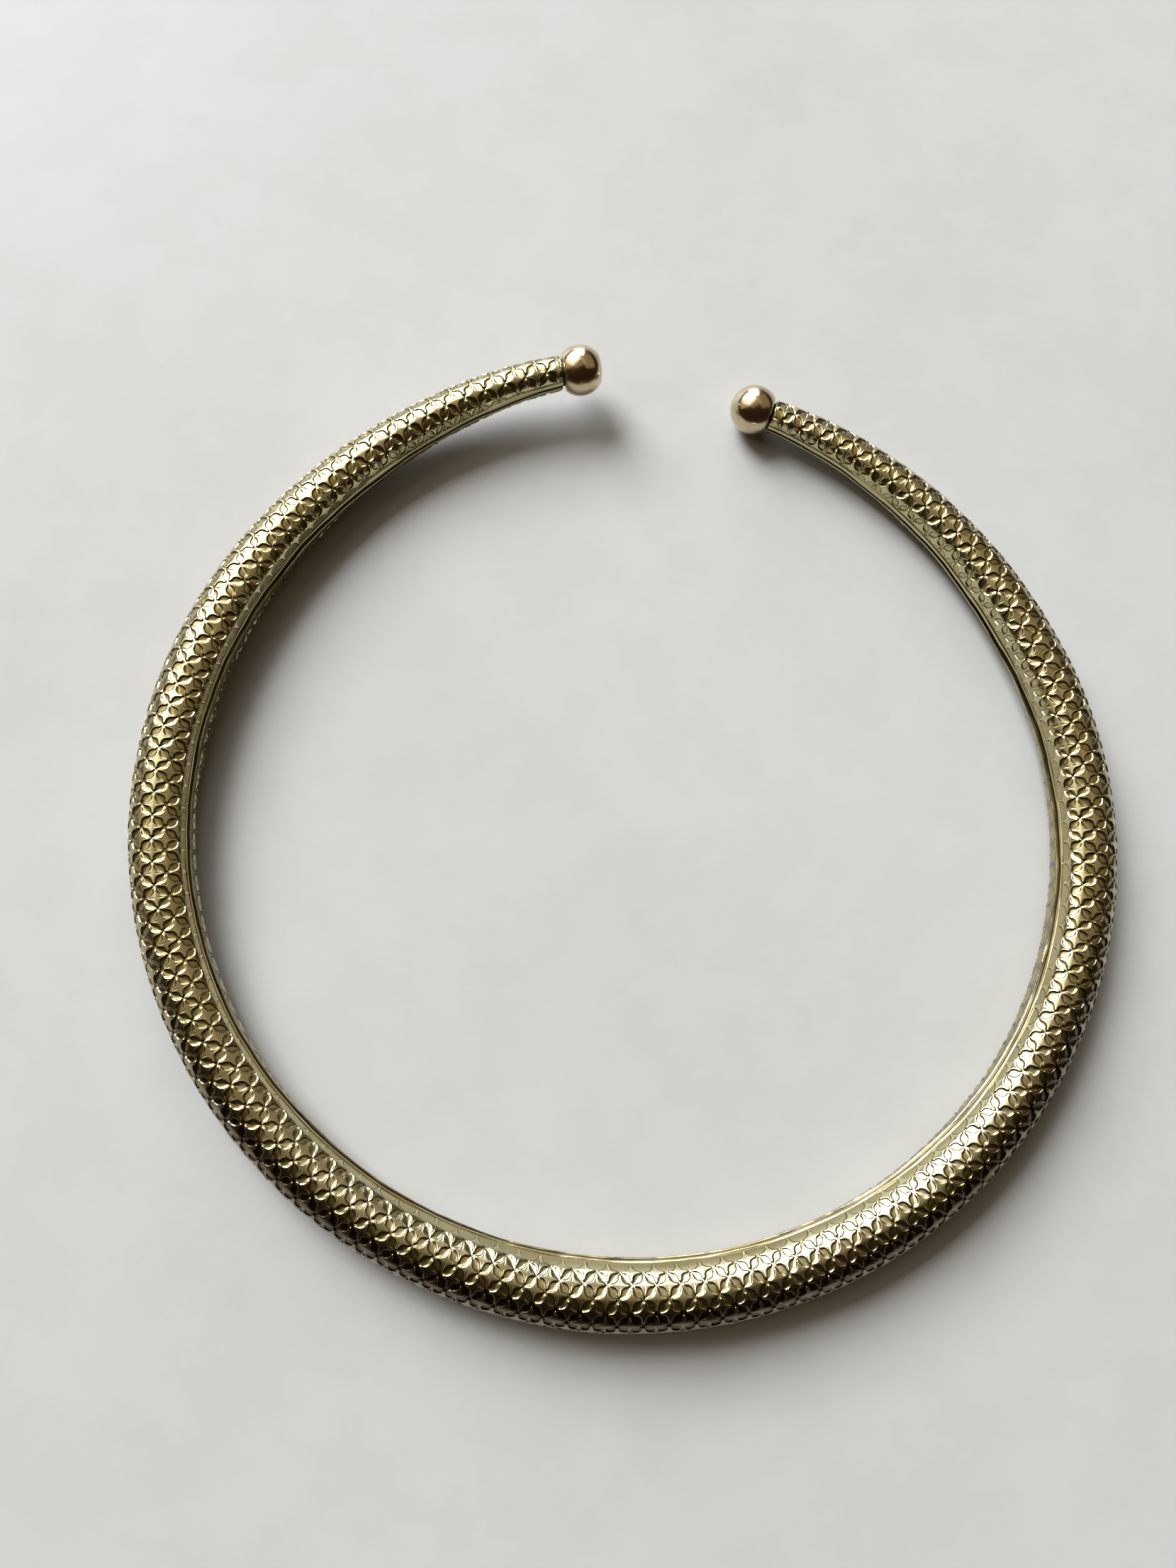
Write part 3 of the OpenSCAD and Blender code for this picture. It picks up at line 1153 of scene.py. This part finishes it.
@dataclass
class EndBall:
    """A polished ball on one end, turned about the line along which the tube arrives.

    The neck starts a seat gap off the tube's closed end and runs on, sunk into the ball. The
    heel is the ball's edge round the neck, as steps in from its rim and up.
    """

    end: End
    shape: RingShape = field(default_factory=RingShape)
    diameter: float = 7.2
    cut: float = 2.5
    neck_radius: float = 1.88
    neck_length: float = 0.32
    neck_foot: float = 0.2
    far_end: float = 3.6
    rounding: float = 0.0
    around: int = 96
    ball_steps: int = 39
    edge_steps: int = 12
    seat_gap: float = 0.02
    sunk: float = 0.05
    heel: Tuple[Pair, Pair] = ((0.12, 0.0), (0.03, 0.03))
    flat_shares: Triple = (0.75, 0.5, 0.25)
    pole: float = 0.0005

    def profile(self) -> Tuple[np.ndarray, int]:
        """Half outline of the ball and its neck.

        Returns:
            Rows of distance from the axis and place along it, neck first, and the number
            of rows that belong to the neck.
        """
        radius = self.diameter / 2
        low = -self.cut
        start = math.asin(low / radius)
        foot = low - self.neck_length + self.seat_gap
        inner = self.neck_radius * self.neck_foot
        neck = [(inner, foot), (self.neck_radius, foot), (self.neck_radius, low + self.sunk)]
        mid_z = self.far_end - self.rounding
        mid_x = math.sqrt(max(0.0, (radius - self.rounding) ** 2 - mid_z**2))
        stop = math.atan2(mid_z, mid_x)
        rim = radius * math.cos(start)
        rows = [(self.neck_radius, low + self.seat_gap)]
        rows += [(rim - inward, low + rise) for inward, rise in self.heel]
        for k in range(1, self.ball_steps + 1):
            turn = start + (stop - start) * k / self.ball_steps
            rows.append((radius * math.cos(turn), radius * math.sin(turn)))
        if self.far_end < radius:
            for k in range(1, self.edge_steps + 1):
                turn = stop + (math.pi / 2 - stop) * k / self.edge_steps
                rows.append((mid_x + self.rounding * math.cos(turn), mid_z + self.rounding * math.sin(turn)))
            rows += [(mid_x * share, self.far_end) for share in self.flat_shares]
        rows.append((self.pole, self.far_end))
        return np.array(neck + rows), len(neck)

    def turned(self, rows: np.ndarray, name: str, material: bpy.types.Material) -> bpy.types.Object:
        """Turn a half outline about the ball's axis and set it on the tube's end.

        Args:
            rows: rows of distance from the axis and place along it.
            name: the object's name.
            material: its material.

        Returns:
            The new object.
        """
        share, sense, _ = self.end.value
        station = np.array([share * self.shape.stations])
        way = math.radians(float(self.shape.angle(station)[0]))
        along = np.array([-math.cos(way) * sense, math.sin(way) * sense, 0.0])
        side = np.cross((0.0, 0.0, 1.0), along)
        up = np.array([0.0, 0.0, 1.0])
        start = self.shape.point(station, np.zeros(1), np.zeros(1))[0] / MM
        middle = start + along * (self.cut + self.neck_length)
        spin = np.linspace(0.0, 2 * math.pi, self.around, endpoint=False)
        ring = np.cos(spin)[None, :, None] * side + np.sin(spin)[None, :, None] * up
        points = middle + rows[:, 1][:, None, None] * along + rows[:, 0][:, None, None] * ring
        count = self.around
        k = np.arange(count)
        faces = []
        for level in range(len(rows) - 1):
            a = level * count + k
            b = level * count + (k + 1) % count
            faces += [np.stack([a, b, b + count], axis=1), np.stack([a, b + count, a + count], axis=1)]
        return build_mesh(name, points.reshape(-1, 3) * MM, np.concatenate(faces), material)

    def build(self, polish: bpy.types.Material, dark: bpy.types.Material) -> List[bpy.types.Object]:
        """Build the ball and its neck.

        Args:
            polish: material of the ball.
            dark: material of the neck.

        Returns:
            The two objects.
        """
        rows, neck = self.profile()
        node = self.end.value[2]
        side = self.end.name.lower()
        ball = self.turned(rows[neck:], "ball_" + side, polish)
        collar = self.turned(rows[:neck], "neck_" + side, dark)
        for piece in (ball, collar):
            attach(piece, "root")
            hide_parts(node)
        return [ball, collar]


class Glow(Enum):
    """Linear colours of the lights."""

    NEUTRAL = (0.95, 0.99, 1.045)
    PALE = (1.0, 0.94, 0.86)
    WARM = (1.0, 0.80, 0.50)


@dataclass(frozen=True)
class Panel:
    """A rectangular light that faces the collar.

    The bearing runs from the picture's right toward its top, and the height from the floor
    up, both in degrees. Lengths are metres and the power is in watts.
    """

    name: str
    bearing: float
    height: float
    away: float
    size: Pair
    power: float
    glow: Glow

    def hang(self, roll: float) -> None:
        """Add the light to the scene.

        Args:
            roll: degrees by which the picture is turned on the floor.
        """
        lamp = bpy.data.lights.new(self.name, "AREA")
        lamp.shape = "RECTANGLE"
        lamp.size, lamp.size_y = self.size
        lamp.energy = self.power
        lamp.color = self.glow.value
        thing = bpy.data.objects.new(self.name, lamp)
        flat = math.cos(math.radians(self.height))
        turn = math.radians(self.bearing + roll)
        rise = math.sin(math.radians(self.height))
        way = np.array((flat * math.cos(turn), flat * math.sin(turn), rise))
        side = np.cross((0.0, 0.0, 1.0), way)
        side /= np.linalg.norm(side)
        up = np.cross(way, side)
        facing = Matrix((side, up, way)).transposed().to_4x4()
        facing.translation = tuple(way * self.away)
        thing.matrix_world = facing
        bpy.context.scene.collection.objects.link(thing)


@dataclass
class Studio:
    """Pale floor, one large soft window light, weak fills, and the camera above the collar."""

    shift: Triple = SHIFT_MM
    focal_px: float = 1700.0
    long_px: float = 2212.0
    sensor_mm: float = 36.0
    clip_start: float = 0.005
    place_mm: Triple = (-14.745, -19.296, 174.161)
    tilt_deg: float = 7.635
    lean_deg: float = -3.404
    roll_deg: float = 5.525
    floor_half: float = 1.6
    room: Colour = tone(1.0, 0.53, 0.26)
    room_strength: float = 0.024
    finish: FloorFinish = field(default_factory=FloorFinish)
    panels: Tuple[Panel, ...] = (
        Panel("window", 126, 37.5, 4.8, (2.2, 2.8), 540.0, Glow.NEUTRAL),
        Panel("window_wall", 133, 42, 3.3, (3.2, 3.4), 45.0, Glow.PALE),
        Panel("far_window", 92, 24, 3.1, (1.5, 2.2), 62.0, Glow.NEUTRAL),
        Panel("ceiling", 115, 80, 3.0, (3.0, 1.6), 4.0, Glow.WARM),
        Panel("left_wall", 172, 35, 3.2, (1.2, 2.4), 5.0, Glow.WARM),
        Panel("side_wall", 32, 48, 3.2, (3.4, 3.0), 9.0, Glow.WARM),
    )

    def build_floor(self) -> None:
        """Lay the pale floor."""
        half = self.floor_half
        corners = np.array([(-half, -half, 0), (half, -half, 0), (half, half, 0), (-half, half, 0)])
        faces = np.array([(0, 1, 2), (0, 2, 3)])
        floor = build_mesh("floor", corners, faces, self.finish.material())

    def build_lights(self) -> None:
        """Hang the window light and the fills, and set the room's dim surroundings."""
        for panel in self.panels:
            panel.hang(self.roll_deg)
        world = bpy.data.worlds.new("room")
        world.use_nodes = True
        bpy.context.scene.world = world
        shade = world.node_tree.nodes["Background"]
        shade.inputs["Color"].default_value = self.room
        shade.inputs["Strength"].default_value = self.room_strength
        bpy.context.scene.view_settings.view_transform = "Standard"

    def build_camera(self) -> None:
        """Set the camera at the photograph's angle."""
        lens = bpy.data.cameras.new("camera")
        lens.sensor_width = self.sensor_mm
        lens.lens = self.sensor_mm * self.focal_px / self.long_px
        lens.clip_start = self.clip_start
        thing = bpy.data.objects.new("camera", lens)
        roll = Matrix.Rotation(math.radians(self.roll_deg), 4, "Z")
        tilt = Matrix.Rotation(math.radians(self.tilt_deg), 4, "X")
        lean = Matrix.Rotation(math.radians(self.lean_deg), 4, "Y")
        turn = roll @ tilt @ lean
        turn.translation = tuple((a + b) * MM for a, b in zip(self.place_mm, self.shift))
        thing.matrix_world = turn
        bpy.context.scene.collection.objects.link(thing)
        bpy.context.scene.camera = thing

    def build(self) -> None:
        """Build the floor, lights and camera."""
        self.build_floor()
        self.build_lights()
        self.build_camera()


def main() -> None:
    """Build the studio and the collar."""
    logging.basicConfig(level=logging.INFO, format="%(message)s")
    Studio().build()
    dark = JointFinish().material()
    polish = PolishedFinish().material()
    made = StampedTube().build(dark)
    made += EndBall(End.LEFT, far_end=3.05, rounding=1.3).build(polish, dark)
    made += EndBall(End.RIGHT).build(polish, dark)
    for piece in made:
        LOG.info("%s: %d faces", piece.name, len(piece.data.polygons))


if __name__ == "__main__":
    main()
